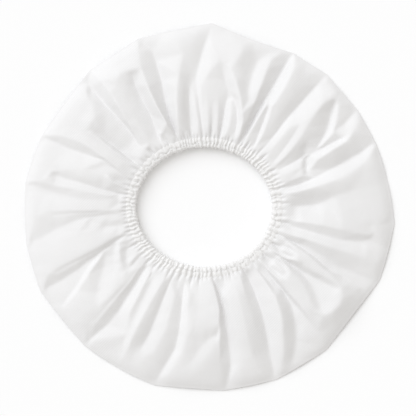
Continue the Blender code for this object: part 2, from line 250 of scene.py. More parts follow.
# The upper layer: share, its height without the folds, and how much of the folds shows there
upperProfile = [
    (0.00, 0.85, 0.10), (0.04, 0.90, 0.50), (0.10, 0.97, 0.90), (0.20, 1.00, 1.00),
    (0.34, 1.00, 1.00), (0.47, 0.95, 1.05), (0.60, 0.83, 1.15), (0.73, 0.65, 1.25),
    (0.84, 0.51, 1.35), (0.92, 0.37, 1.35), (0.97, 0.24, 1.20), (1.00, 0.10, 1.00),
]

# Creases: crest and valley lines read off the picture sector by sector. Each has a softness, 0 for
# a pressed crease to 1 for a round bend, and points of degrees, millimetres out from the rim's
# centre, and millimetres above or below the brim's plain height. Cloth spans the triangles between.
creases = [
    # 0 to 62 degrees
    (0.5, (0.5, 75, -1.5), (0.4, 88, -4.2), (1, 102, -4.6), (2.6, 113, -3), (5, 124, -0.6),
     (7, 145, 0.4), (8, 168, 0.6)),
    (0.3, (6, 76, 1.2), (6.3, 86, 0.2)),
    (0.3, (9.5, 75, 1.6), (10, 92, 3), (10.8, 107, 3.2), (12, 126, 3), (13, 141, 2.6),
     (16, 160, 1.8), (20, 174, 0.9)),
    (0.1, (12.6, 75, -2), (13.8, 92, -3.6), (15, 107, -2.6), (17, 126, -2.4), (18.6, 146, -2.4),
     (19.5, 160, -1.8), (20.7, 173, -1)),
    (0.1, (17, 79, 0.2), (17.4, 91, 0.2), (18, 98, 0)),
    (0.5, (22.5, 80, 0.4), (23.2, 90, 0.2)),
    (0.1, (20, 90, 0), (22.5, 98.5, -0.6), (26.6, 103, -1.6)),
    (0.0, (18.6, 102, -3), (22, 103.6, -4.4), (26.6, 107.5, -5)),
    (0.0, (20, 105.3, -1.8), (23.4, 116, 1.8), (25, 136, 3), (25.6, 149, 2.2)),
    (0.0, (27.4, 78, -1.2), (27.4, 95, -2.4), (26.9, 112, -2.6), (26.8, 126, -2),
     (26.8, 147, -1.5)),
    (0.5, (26.9, 150, 0.5), (27.5, 160, 1.2), (29.5, 174, 1.5)),
    (0.2, (30.7, 144, 0), (31.3, 158, -1), (33, 173, -1)),
    (0.1, (28, 124, -0.5), (30.5, 142, 0.8), (34.5, 152, 1), (38, 161, 1.2)),
    (0.0, (28.3, 121, -2), (31, 132, -2.3), (34.3, 143, -2.4), (37.5, 153, -1.8),
     (39.3, 160, -0.6)),
    (0.1, (27.6, 104, -4), (28.8, 107.5, -4), (31.4, 111, -2)),
    (0.5, (28.4, 86, -1.4), (28.8, 96, -2)),
    (0.4, (29.8, 80, -1), (31, 92, -0.6), (32.6, 105, 0), (34.2, 116, 0.6)),
    (0.2, (31, 75, 0.2), (32.6, 88, 1.1), (35.2, 104, 2), (38.5, 122, 3), (41, 138, 3),
     (41.7, 150, 2.8), (41.3, 158, 2.2), (39.7, 162.5, 1.6)),
    (0.4, (39.7, 163.5, 1.6), (42, 170, 1.5), (46.8, 174, 0.8)),
    (0.1, (34, 76, -0.5), (37, 92, 0), (40, 110, 0.8), (41.8, 119, 1.5)),
    (0.6, (42, 84, 0.3), (43.5, 97, 1), (44.5, 110, 1.3)),
    (0.1, (46, 75, -0.4), (46.8, 92, -1.2), (47.8, 110, -2), (48, 126, -2.4), (48, 146, -1.8),
     (47.9, 162, -1), (47.8, 173, -0.4)),
    (0.7, (51.4, 110, 0.2), (52, 126, 0.8), (52.3, 146, 0.8), (53, 160, 0.6)),
    (0.0, (51.5, 75, 0), (53, 88, 1.2), (56, 107, 2), (57.5, 116, 2.4)),
    (0.0, (52.5, 75, -1.5), (55, 88, -1.6), (57.6, 107, -0.6), (58.8, 115, 0.6)),
    (0.2, (60.7, 80, 0.8), (60.7, 97, 1.4), (60.4, 112, 1.9)),
    (0.2, (57, 121, 2.8), (57.3, 136, 3.2), (58, 155, 2.8), (60, 170, 1)),
    (0.0, (62.2, 73, -2.5), (62, 92, -3.8), (61.8, 110, -4), (61.5, 126, -3.5), (61.2, 146, -3),
     (61, 160, -2), (60.8, 171, -1)),
    # 62 to 120 degrees
    (0.0, (65, 75, 1.3), (65.3, 92, 1.8), (65.7, 110, 2), (66.2, 126, 2.2), (66.6, 146, 2.1),
     (66.6, 156, 1.6), (64.5, 167, 0.9)),
    (0.6, (69, 112, 0.4), (70.6, 119, -0.8), (71.4, 136, -1.6), (71, 150, -1.4), (68.5, 160, -0.2)),
    (0.6, (74, 160, 0.6), (74.4, 150, 0.6), (75.2, 140, 1), (75, 130, 1.4)),
    (0.2, (66.3, 76, 2), (67.5, 88, 3.4), (70, 97, 4.2), (73.5, 111, 4.6), (77, 124, 4.4),
     (80.5, 137, 3.6), (82.2, 141, 2.6)),
    (0.1, (69.5, 78, -0.6), (70.7, 88, -0.6), (73.3, 99, -0.6), (76.4, 108, -0.6),
     (79.7, 115, -0.6), (82, 124, 0), (83.3, 134, 0.8)),
    (0.7, (79.6, 139.5, 3.6), (78.4, 146, 3.2), (77.4, 155, 2.6), (76.6, 162, 2), (77.4, 168, 1.2)),
    (0.8, (75.4, 80, 0.8), (76.4, 95, 1.2), (77.5, 104, 0.8)),
    (0.0, (79.7, 76, -2.8), (79.8, 92, -3), (79.7, 106, -1.4)),
    (0.7, (83, 76, 0.3), (83.6, 92, 0.2), (84.4, 106, -0.2)),
    (0.7, (86.5, 76, -1.5), (86.9, 88, -1.2), (87.3, 100, -0.7)),
    (0.7, (88.9, 76, 1.2), (89.4, 92, 0.9), (90.2, 106, 0.3)),
    (0.0, (83.6, 139.5, 2), (85.5, 142, 2.2), (88.5, 133, 2.4), (91.5, 122, 1.4), (92.9, 117, 1)),
    (0.0, (92.5, 76, 0.5), (93, 95, 0.6), (93.3, 115, 0.8)),
    (0.0, (88.8, 175, -0.4), (90, 165, -0.8), (91.3, 155, -1.1), (93, 141, -1.3), (95, 127, -1.3),
     (94.9, 110, -0.8), (94.5, 92, -0.6), (93.7, 75, -0.8)),
    (0.5, (96.4, 80, 0.4), (97, 97, 0.2), (97.2, 112, -0.4)),
    (0.5, (102.5, 75, -3.2), (100.8, 92, -3.6), (99.6, 107, -2.8), (98.4, 119, -1.6),
     (97.2, 130, -0.6)),
    (0.8, (106.3, 77, 0.8), (105, 92, 1.8), (103.4, 107, 2.2), (101.8, 119, 2.2)),
    (0.2, (111.6, 75, 2), (109, 90, 4), (106.6, 104, 4.4), (104.5, 118, 3.9), (102.3, 131, 3.3),
     (98.8, 151, 2.1), (94.5, 166, 1.1)),
    (0.0, (113.5, 74, -1.5), (112.8, 97, -3.4), (111.8, 110, -3.8), (110, 130, -3.4),
     (109.5, 150, -2.4), (109.5, 162, -1.4), (112, 173, -0.8)),
    (0.0, (115, 76, 1), (116, 90, 5), (116.7, 110, 5), (116.5, 130, 4.2), (115.7, 150, 3),
     (114, 164, 1.8), (112.7, 173, 0.8)),
    (0.0, (126, 75, -1.8), (124, 88, -3.2), (121.8, 105, -3.6), (121.2, 125, -3),
     (120.7, 137, -1.4), (119.8, 148, 0.9)),
    (0.4, (131.6, 84, 0), (130.2, 97, 0.6), (129, 112, 1.1), (128, 130, 2), (127, 146, 3),
     (125.4, 152, 3.3), (123.4, 154.5, 3), (121.4, 153.5, 2.4)),
    (0.5, (121, 162, 1.2), (124.5, 164, 1.3)),
    (0.5, (124.5, 100, -2.2), (124.4, 115, -1.4), (124.2, 130, 0.2), (124, 142, 1.8)),
    (0.1, (119.8, 82, 0.9), (121, 84, 1.6), (122.4, 83.8, 1.4), (123.6, 82, 0.2)),
    (0.2, (121.6, 81, -0.8), (122.4, 76.5, -1.8)),
    # 120 to 180 degrees
    (0.0, (130.6, 172, 0.8), (130, 160, 3), (130.5, 145, 4.2), (131.5, 130, 3.8), (133.5, 112, 2),
     (135.5, 98, 0.2), (137, 86, -0.4)),
    (0.35, (131.2, 174, -0.8), (133.6, 168, -1.5), (134.8, 161, -2), (134.9, 145, -2.6),
     (135.1, 126, -3), (135.6, 107, -3.6), (136.6, 97, -3)),
    (0.0, (136.2, 162, 1.2), (138, 154, 2.2), (140.5, 143, 3.2), (142, 140, 3.7),
     (143.5, 139.5, 3.8), (145.2, 138.5, 3.5), (146.7, 135, 2.3)),
    (0.7, (137.2, 102, -2.6), (137.2, 118, -1.8), (137.2, 135, -0.2), (137.2, 148, 1.6)),
    (0.4, (142, 96, -3), (143.2, 109, -2), (144, 122, -0.2)),
    (0.6, (149.5, 142, 1.4), (150.5, 122, 0.9), (151.4, 104, 0.3)),
    (0.7, (142, 150, 2), (146, 151, 1.5), (149.5, 155, 1), (152, 160, 0.9)),
    (0.0, (146.8, 130, 1), (147, 117, -1.8), (147.7, 100, -3.6), (148.8, 84, -3)),
    (0.0, (147.7, 131, 2.4), (148.2, 117, 1.8), (149, 100, 1), (150, 84, 0.4)),
    (0.4, (138, 90, -1.8), (142, 90, -2.2), (146, 91, -2.6)),
    (0.5, (137.5, 81, 0.2), (140.5, 81, 0.4), (144, 80, 0.2)),
    (0.1, (133.8, 79, -0.4), (134.8, 81.8, 1.2), (136, 82.4, 1.4), (137, 81, 0.8)),
    (0.2, (135.3, 79, -1.4), (136, 75.5, -2.6)),
    (0.4, (151.5, 90, -0.4), (153.4, 82, -1.2)),
    (0.0, (160, 82, 0.6), (157, 95, 1.8), (154.7, 110, 2.6), (153.3, 126, 3), (153, 141, 2.6),
     (154, 158, 1.6), (156.2, 173, 0.8)),
    (0.2, (160.8, 82, -0.2), (157.8, 95, 0.6), (155.6, 110, 0.6), (156.6, 126, -1),
     (157.2, 145, -1.2), (157, 160, -1), (156.8, 173, -0.8)),
    (0.6, (159.6, 92, 0.9), (160.4, 100, 0.7), (160.8, 107, 0.2)),
    (0.8, (163.5, 106, 0.2), (163.5, 126, 0.9), (164.5, 140, 1), (165.5, 158, 0.7)),
    (0.6, (158.4, 108, -0.5), (160.4, 113, -0.5), (162.5, 120, -0.1)),
    (0.6, (158.4, 114, 0.6), (160.4, 119, 0.8)),
    (0.0, (161.4, 101.5, 1.2), (163.4, 100.5, 2), (165.2, 95, 2), (166.3, 86, 1.2)),
    (0.3, (162.8, 95.5, 0.2), (164, 91, -1.2), (165, 83, -2)),
    (0.0, (166.2, 147, 1.2), (167.1, 155, 1.7), (168.8, 157.5, 1.9), (170.6, 153, 1.6)),
    (0.7, (166.6, 130, 0.7), (167.2, 112, 0.3)),
    (0.2, (168.4, 150, -0.4), (168.9, 135, -0.9), (169.6, 117, -1.1), (170.6, 103, -1.6),
     (171.2, 94, -2.6), (171.6, 86, -2.8)),
    (0.7, (168, 86, -0.4), (168.2, 97, -0.2)),
    (0.0, (172.2, 175, 0.7), (171.6, 164, 1.4), (171.9, 152, 1.5), (172.5, 130, 1.2),
     (173, 112, 0.9), (173.5, 95, 0.5)),
    (0.7, (173, 173, -0.8), (174.4, 157, -1.2), (175.3, 141, -1), (176.6, 122, -0.6),
     (176.2, 105, -0.4), (175.3, 92, -0.5)),
    (0.1, (175.8, 86, -1.8), (178.5, 87, -1.2)),
    # 180 to 240 degrees
    (0.1, (181, 82, 0.5), (182, 97, 1.2), (181.9, 117, 1.4), (181.6, 136, 1.5), (181.7, 156, 1.6),
     (183.5, 166, 1.6), (187, 172, 1.3), (191, 176, 0.9)),
    (0.0, (182.8, 107, 0.2), (182.7, 130, 0.4), (183, 150, 0.8)),
    (0.0, (183.2, 107, 0.5), (183.1, 130, 0.7), (183.5, 150, 1)),
    (0.4, (184, 83, -0.4), (184.5, 97, -0.8), (185, 112, -1.1), (186.2, 130, -1.3),
     (188, 146, -1.2), (190, 160, -1.1), (191.5, 175, -0.7)),
    (1.0, (192, 128, 0.3), (193, 146, 0.5), (196, 163, 0.4)),
    (0.5, (187, 114, -1.4), (190.3, 119, -0.4)),
    (0.4, (187, 119, 0.2), (189, 123, 0.4), (191.5, 114, 0.5)),
    (0.1, (188.7, 97, -0.4), (189.1, 104, 0.2), (191.5, 108, 0.8), (193.7, 105, 1), (194.6, 95, 1)),
    (0.5, (191, 99, -1.6), (192.4, 88, -1.8)),
    (0.4, (196, 80, 0.5), (198, 92, 1), (199.7, 107, 1.4), (200.8, 122, 1.7), (201.5, 136, 1.9),
     (202, 156, 1.8), (203, 168, 1.4), (206.3, 178, 0.7)),
    (0.0, (202, 112, -0.2), (202.5, 136, 0.8), (203.6, 160, 1)),
    (0.0, (202.4, 112, 0), (203, 136, 1), (204, 160, 1.2)),
    (0.1, (198.8, 80, -0.6), (200.4, 95, -0.9), (202.2, 107, -1.4), (204, 122, -1.8),
     (205.9, 141, -1.3), (206.7, 160, -1), (206.8, 176, -0.5)),
    (0.1, (205, 120, -1.6), (208, 134, -1), (210.8, 146, -0.4), (213, 160, 0), (214.2, 170, 0.3)),
    (0.0, (202.9, 108, -0.6), (206.2, 119, 0.9), (209.7, 134, 1.2), (212.9, 151, 1.2),
     (214.7, 171, 0.9)),
    (0.4, (206, 110, -2), (210, 116, -2.4), (214, 125, -1.8), (217.5, 136, -0.4)),
    (0.1, (202, 92.5, 0.8), (206, 95.5, 1.8), (210, 98.5, 2), (214, 100.5, 1.6), (218, 102, 1.2)),
    (0.1, (203, 97, -1.4), (207, 101, -1.6), (211, 104.5, -1), (215, 107.5, 0)),
    (0.3, (205.5, 86, -1), (209, 90, -1.6), (213, 93.5, -1.2), (216.5, 96, -0.6)),
    (0.4, (215.6, 91, 0.6), (213.6, 80, 0.4)),
    (0.2, (218, 94, -0.8), (216.3, 82, -1.2)),
    (0.3, (219.5, 99, 0.8), (221, 107, 1.5), (222.3, 122, 2.1), (222.6, 133, 1.9),
     (223.3, 146, 1.6), (224.3, 160, 1.3), (227.5, 175, 0.6)),
    (0.3, (217.8, 133, -0.2), (220, 134.5, 0.8), (221.8, 136, 1.8)),
    (0.0, (221.4, 88, -0.4), (223.4, 102, 0.5), (224.4, 126, 1), (225.4, 156, 0.8)),
    (0.0, (221.9, 88, -0.2), (223.9, 102, 0.8), (225, 126, 1.3), (226, 156, 1.1)),
    (0.2, (222, 76, -2), (224.5, 83, -3), (226.2, 97, -3.1), (227.9, 112, -3), (229.5, 131, -2.4),
     (229.7, 151, -1.5), (228.5, 175, -0.5)),
    (0.5, (229.4, 86, 0.4), (230.6, 97, 0.8), (232.4, 110, 1.2), (233.6, 126, 1.4)),
    (0.1, (227.8, 77, -2), (230.3, 86, -1.2)),
    (0.8, (232.6, 85, -1.6), (233.8, 97, -1.4), (235, 110, -1), (236.4, 126, -0.6),
     (237.6, 145, -0.2), (239, 164, 0)),
    (0.3, (229.5, 172, 0.7), (232, 163, 1.1), (236, 150, 1.4)),
    (0.4, (234, 171, 0), (237.7, 157, 0.3)),
    # 240 to 300 degrees
    (0.4, (239.3, 76, 0.8), (239, 92, 1.6), (239.1, 110, 1.9), (239.5, 131, 2.1), (240, 150, 1.8),
     (240.6, 165, 1.2), (240.6, 176, 0.7)),
    (0.6, (241.6, 97, 0.8), (242.1, 117, 0.8), (242.4, 136, 0.8)),
    (0.3, (243.3, 80, -0.8), (244.2, 97, -0.9), (245, 117, -1.1), (245.4, 136, -1.3),
     (244.9, 149, -0.9)),
    (0.2, (241.3, 158, 1.6), (243.5, 160, 1.2), (246.5, 159, 1.3), (249.3, 151, 1.5),
     (250.5, 136, 1.8), (251, 122, 1.8), (250.5, 104, 1.4), (249.4, 90, 0.8)),
    (0.2, (247.8, 75, -1.8), (249.4, 84, -1)),
    (0.0, (253, 76, -1.8), (255, 92, -1.8), (256.5, 110, -1.4), (257.3, 126, -1.1),
     (257.2, 143, -1), (255, 161, -0.8), (253.6, 177, -0.4)),
    (0.7, (257.3, 86, 1.4), (259.4, 107, 1.6), (260.6, 126, 1.9), (260, 143, 1.7),
     (257.2, 166, 1.2)),
    (0.3, (263.6, 120, 2.4), (268.5, 116.5, 2.5), (273.8, 116.5, 2.8)),
    (0.4, (264, 152, 0.9), (265.8, 143, 0.5), (268, 133.5, 0.1), (271, 127.5, 0),
     (274.6, 124, 0.2)),
    (0.7, (265.6, 158, 1.6), (268, 150, 2), (270.6, 142, 2), (273.8, 134, 1.8)),
    (0.3, (257.6, 74, -1.4), (258.2, 80, -0.6)),
    (0.3, (263.6, 71, -1.4), (264, 77, -0.6)),
    (0.7, (262, 86, -0.4), (265, 98, 0.4), (270, 104, 1.2)),
    (0.0, (274.3, 73, 1), (275.5, 82, 2), (276.9, 100, 2.8), (275.8, 114, 2.8), (274.8, 131, 2.4),
     (274.4, 151, 1.8), (273.6, 174, 0.8)),
    (0.1, (275.5, 74, -3), (277.8, 88, -2.6), (278.5, 107, -2.7), (279, 131, -2.5),
     (278.6, 156, -1.6), (276.5, 173, -0.8)),
    (0.8, (282.3, 88, 1.8), (282.6, 110, 2), (282.6, 135, 1.6), (281.6, 155, 1.2)),
    (0.6, (289.3, 88, 2.4), (288.4, 107, 3.2), (287.2, 131, 3), (286.6, 151, 2.4), (288, 168, 1.4)),
    (0.6, (293.6, 90, 0.8), (292.6, 110, 1.1), (291, 131, 1.1)),
    (0.2, (283.3, 72, -1.6), (284.5, 80, 1)),
    (0.2, (288.5, 71, -1.4), (289.5, 78, 0.6)),
    (0.0, (300, 76, -5), (298.8, 95, -4.6), (297.5, 112, -3.8), (295.5, 131, -3),
     (293.3, 151, -1.8), (291.8, 175, -0.8)),
    # 300 to 360 degrees
    (0.4, (308, 74, -1.4), (307.8, 92, 0.6), (306.9, 110, 3), (304.5, 126, 3.6), (301.2, 141, 3.1),
     (297.8, 158, 2.1), (295, 172, 1.1)),
    (0.3, (298.8, 171, -0.3), (303.4, 156, -0.9), (307.2, 141, -1.8), (310.2, 126, -3),
     (312, 111, -3.8)),
    (0.0, (309.8, 177, 0.6), (310.9, 161, 1.1), (311.7, 146, 0.5), (312, 130, -1.3),
     (312.3, 107, -3), (312.6, 90, -2.8), (314.3, 75, -1.8)),
    (0.0, (310.5, 177, 0.8), (311.7, 161, 1.6), (312.6, 146, 2.2), (313.1, 130, 2),
     (313.5, 107, 1.4), (313.9, 90, 0.4)),
    (0.2, (308.8, 80, -2.2), (309.3, 98, -1.6)),
    (0.1, (314.4, 147, 2.6), (317, 154, 3.9), (320, 158, 4.3), (323, 159.2, 4.4), (326, 157, 4.3),
     (328.6, 151.4, 3.9), (330.2, 144, 3.1), (331.7, 131, 2.3), (334, 112, 1.6), (336, 95, 0.8),
     (337.3, 82, -0.4)),
    (0.4, (313.5, 165, 1.2), (317, 168, 1.5), (323, 169.5, 1.6), (329, 167, 1.5)),
    (0.0, (332.5, 131, -1.6), (335, 112, -2.2), (337, 95, -3), (338.3, 82, -3.8)),
    (0.3, (316, 146, 3.6), (317.3, 136, 3.1), (319.5, 126.5, 2.3), (321.6, 117, 1.6),
     (323, 107, 0.6)),
    (0.4, (318.6, 146, 1), (321, 136, -0.8), (323, 126.5, -2), (324.4, 117, -3.1),
     (325.2, 107, -3.6)),
    (0.4, (327.4, 146, 1.2), (327, 136, -0.8), (326.7, 126.5, -2), (326.2, 117, -3.1),
     (325.8, 107, -3.6)),
    (0.3, (329, 146, 3.5), (329.2, 136, 2.9), (328.9, 126.5, 2.2), (328.4, 117, 1.4),
     (327.8, 107, 0.2)),
    (0.6, (314.6, 135, 2.8), (315.6, 120, 2.1)),
    (0.6, (330.8, 135, 2.7), (331.8, 120, 2)),
    (0.2, (325.2, 84, -2), (325.4, 96, -3.2)),
    (0.7, (323.6, 150, 2.2), (324.2, 140, 0.4), (324.6, 131, -1.6)),
    (0.1, (313.9, 86, 0.6), (314.6, 97, 2), (317.5, 103, 2.4), (321, 102, 2.2), (323.2, 95, 1.4),
     (324.5, 84, 0)),
    (0.4, (316, 108, 2), (318.5, 110, 2), (321, 108, 1.7)),
    (0.4, (328.6, 104, 1.8), (331, 105, 1.9), (333.4, 102, 1.6)),
    (0.3, (316, 82, -2), (316.6, 92, -1.4), (317.6, 99, 0.6)),
    (0.3, (322.6, 82, -2), (322.2, 92, -1.4), (321.2, 99, 0.6)),
    (0.3, (319.4, 86, 0.6), (319.3, 95, 1.7)),
    (0.1, (319.8, 75, -4), (320, 82, -2)),
    (0.1, (326.4, 84, 0), (327, 93, 1.4), (328.5, 98.5, 2.1), (331, 99.5, 2.2), (333.4, 96.5, 1.8),
     (335.2, 88, 0.8)),
    (0.3, (328, 82, -2), (328.4, 89, -1.4), (329.2, 95, 0.6)),
    (0.3, (333.2, 82, -2), (332.8, 89, -1.4), (332, 95, 0.6)),
    (0.3, (330.7, 85, 0.6), (330.7, 92, 1.5)),
    (0.1, (330.6, 75, -4), (330.6, 82, -2)),
    (0.1, (330.8, 148, 1.9), (331.2, 156, 1.9), (331.6, 167, 1.2)),
    (0.1, (332.6, 146, -0.8), (332.6, 156, -0.4), (332.5, 170, 0)),
    (0.6, (335.2, 131, -2.6), (335.6, 146, -2.6), (335.8, 160, -2), (336, 173, -1)),
    (0.5, (338.6, 79, -1.8), (338, 97, -2.6), (337, 117, -2.2), (336.8, 136, -1.8),
     (337, 156, -1.2), (337.4, 177, 0)),
    (0.6, (341.4, 84, 1), (341.8, 96, 1.6), (342, 120, 2), (342.2, 141, 1.8), (342.2, 160, 1.4),
     (341, 172, 1)),
    (0.5, (339.2, 99, -2.1), (340.8, 99.5, -0.4), (341.4, 102, 0.9)),
    (0.5, (347.4, 78, -3.4), (346.8, 92, -3), (346.1, 110, -2.4), (345.8, 131, -1.8),
     (347, 150, -1.4), (348.4, 160, -0.6)),
    (0.0, (351.6, 80, -0.4), (350.9, 92, 1), (350.8, 112, 1.8), (350.3, 131, 2.2), (349.8, 148, 2),
     (349.8, 160, 1.6), (351.3, 164, 1.6), (353.6, 158, 1.2)),
    (0.1, (351.8, 87, -1), (354, 82, -1.8), (357, 77, -1.4)),
    (0.2, (354.5, 170, 1.2), (355, 179, 0)),
]

creaseLook = {
    "liftScale": 1.45,
    "mapColumns": 1440,
    "mapRows": 144,
    "overlapDeg": 40,         # how far the lines are carried on past a full turn
    "edgeStepDeg": 3.0,       # between the points along the seam and the rim
    "edgeSoftness": 0.05,
    "nearestShare": 0.02,     # lines end this far from the seam and the rim
    "farthestShare": 0.985,
    "crispRounds": 4,         # smoothing of pressed creases
    "softRounds": 60,         # smoothing of round bends
    "blendRounds": 8,         # smoothing of where one passes into the other
    "aspect": 48.0,           # degrees that are as wide as the ring of cloth is broad
    "heldSoftness": 0.35,     # rounder creases than this do not hold the cloth down
    "heldSteps": 160,         # spots held down on each stretch of a line
    "bellyLift": 0.0017,      # millimetres added each round
    "bellyRounds": 700,
    "bellySmoothing": 2,
    "joinWithin": 1e-4,       # points of lines that meet
    "leastArea": 1e-9,        # of a triangle
    "hair": 1e-6,             # slack when a spot lies on a triangle's edge
}


def rimSpan(degrees):
    # the stretch between two rim corners that an angle is on, how far along it is, and its length
    rimDegs = np.array([corner.rimDeg for corner in corners] + [corners[0].rimDeg + 360])
    turned = (degrees - rimDegs[0]) % 360 + rimDegs[0]
    index = np.clip(np.searchsorted(rimDegs, turned, side="right") - 1, 0, len(corners) - 1)
    return index, turned - rimDegs[index], rimDegs[index + 1] - rimDegs[index]


def rimRadiusAt(degrees):
    # the rim's distance from its centre: nearly straight edges from corner to corner
    shares = np.array([corner.radiusShare for corner in corners] + [corners[0].radiusShare])
    swells = np.array([corner.swellShare for corner in corners])
    index, along, span = rimSpan(degrees)
    span, along = np.radians(span), np.radians(along)
    first, last = shares[index], shares[index + 1]
    chord = first * last * np.sin(span) / (first * np.sin(along) + last * np.sin(span - along))
    return (chord + swells[index] * np.sin(math.pi * along / span)) * ringSizes["outerDiameter"] / 2


def rimLift(degrees):
    # the rim rests on its corners and stands a little off the floor between them
    _, along, span = rimSpan(degrees)
    return span * brimLook["rimLiftPerDegree"] * np.sin(math.pi * along / span)


def smoothMap(values, rounds):
    # the same smoothing around the ring and along the rows
    for _ in range(rounds):
        values = (np.roll(values, 1, axis=1) + 2 * values + np.roll(values, -1, axis=1)) / 4
        values = smoothRows(values, 1)
    return values


def shareAt(degrees, millimetres):
    seam = bandRadius(degrees, ringSizes["casingWidth"])
    return (millimetres / 1000 - seam) / (rimRadiusAt(degrees) - seam)


def creaseNet(look):
    # triangles between the crease lines: corners on the map, their lift and softness, and faces
    places, lifts, edges = [], [], []
    overlap = look["overlapDeg"]
    for lap in (-360, 0, 360):
        for softness, *points in creases:
            start = len(places)
            for degrees, distance, lift in points:
                if -overlap < degrees + lap < 360 + overlap:
                    share = np.clip(shareAt(np.array(float(degrees)), distance),
                                    look["nearestShare"], look["farthestShare"])
                    places.append(Vector((degrees + lap, share * look["aspect"])))
                    lifts.append((lift, softness))
            edges += [(index, index + 1) for index in range(start, len(places) - 1)]
    for degrees in np.arange(-overlap, 361 + overlap, look["edgeStepDeg"]):
        for share in (0.0, 1.0):
            places.append(Vector((degrees, share * look["aspect"])))
            lifts.append((share * rimLift(degrees) * 1000 / look["liftScale"],
                          look["edgeSoftness"]))
    netPlaces, netEdges, faces, sources = geometry.delaunay_2d_cdt(
        places, edges, [], 0, look["joinWithin"])[:4]
    value = np.full((len(netPlaces), 2), np.nan)
    for index, given in enumerate(sources):
        if given:
            value[index] = np.mean([lifts[source] for source in given], axis=0)
    for index in np.flatnonzero(np.isnan(value[:, 0])):      # where two lines cross
        beside = [other for edge in netEdges if index in edge for other in edge if other != index]
        value[index] = np.nanmean(value[beside], axis=0)
    return np.array([place[:] for place in netPlaces]), value, faces


def creaseMap(look):
    # lift and softness over an even map of angle and share, then the lift in metres
    corner, value, faces = creaseNet(look)
    columns, rows, hair = look["mapColumns"], look["mapRows"], look["hair"]
    relief = np.zeros((rows, columns, 2))
    stepX, stepY = 360 / columns, look["aspect"] / (rows - 1)
    for face in faces:
        a, b, c = corner[list(face)]
        area = (b[0] - a[0]) * (c[1] - a[1]) - (b[1] - a[1]) * (c[0] - a[0])
        if abs(area) < look["leastArea"]:
            continue
        low, high = corner[list(face)].min(axis=0), corner[list(face)].max(axis=0)
        x = np.arange(math.ceil(low[0] / stepX - hair), math.floor(high[0] / stepX + hair) + 1)
        y = np.arange(max(math.ceil(low[1] / stepY - hair), 0),
                      min(math.floor(high[1] / stepY + hair), rows - 1) + 1)
        x = x[(x >= 0) & (x < columns)]
        if not len(x) or not len(y):
            continue
        gridX, gridY = np.meshgrid(x * stepX, y * stepY)
        second = ((gridX - a[0]) * (c[1] - a[1]) - (gridY - a[1]) * (c[0] - a[0])) / area
        third = ((b[0] - a[0]) * (gridY - a[1]) - (b[1] - a[1]) * (gridX - a[0])) / area
        inside = (second >= -hair) & (third >= -hair) & (second + third <= 1 + hair)
        first = 1 - second - third
        spots = (first[..., None] * value[face[0]] + second[..., None] * value[face[1]]
                 + third[..., None] * value[face[2]])
        relief[y[0]:y[-1] + 1, x[0]:x[-1] + 1][inside] = spots[inside]
    softness = smoothMap(relief[..., 1], look["blendRounds"])
    crisp = smoothMap(relief[..., 0], look["crispRounds"])
    gentle = smoothMap(relief[..., 0], look["softRounds"])
    lift = (crisp + (gentle - crisp) * softness) * look["liftScale"]
    return (lift + bellyMap(look)) / 1000


def bellyMap(look):
    # how far the cloth bellies up between the pressed creases, held down along each of them
    columns, rows = look["mapColumns"], look["mapRows"]
    free = np.ones((rows, columns))
    free[0], free[-1] = 0, 0
    for softness, *points in creases:
        if softness > look["heldSoftness"]:
            continue
        for (startDeg, startOut, _), (endDeg, endOut, _) in zip(points, points[1:]):
            degrees = np.linspace(startDeg, endDeg, look["heldSteps"])
            share = shareAt(degrees, np.linspace(startOut, endOut, look["heldSteps"]))
            row = np.rint(np.clip(share, 0, 1) * (rows - 1)).astype(int)
            free[row, np.rint(degrees / 360 * columns).astype(int) % columns] = 0
    belly = np.zeros((rows, columns))
    for _ in range(look["bellyRounds"]):
        beside = np.roll(belly, 1, axis=1) + np.roll(belly, -1, axis=1)
        beside[1:-1] += belly[:-2] + belly[2:]
        belly = (beside / 4 + look["bellyLift"]) * free
    return smoothMap(belly, look["bellySmoothing"])


reliefMap = creaseMap(creaseLook)
print("creases", len(creases), "lift", round(float(reliefMap.min()), 4),
      round(float(reliefMap.max()), 4))


def creaseLift(degrees, share):
    # the map's value at any angles and shares
    rows, columns = reliefMap.shape
    x = np.mod(degrees, 360) / 360 * columns
    y = np.clip(share, 0, 1) * (rows - 1)
    x, y = np.broadcast_arrays(x, y)
    left, low = np.floor(x).astype(int), np.minimum(np.floor(y).astype(int), rows - 2)
    partX, partY = x - left, y - low
    left %= columns
    right = (left + 1) % columns
    lower = reliefMap[low, left] * (1 - partX) + reliefMap[low, right] * partX
    upper = reliefMap[low + 1, left] * (1 - partX) + reliefMap[low + 1, right] * partX
    return lower * (1 - partY) + upper * partY


def tuckLift(look, degrees, share):
    # the tucks at the gathered edge: sharp and deep at the seam, narrow and faint further out
    far = np.clip(share / look["tuckShare"], 0, 1)
    between = puffShare * (1 - smoothStep(far))
    width = look["tuckWidthDeg"] * (1 - look["tuckNarrowing"] * far)
    return look["tuckDepth"] * (between - tucks.depthAt(degrees, share, width))


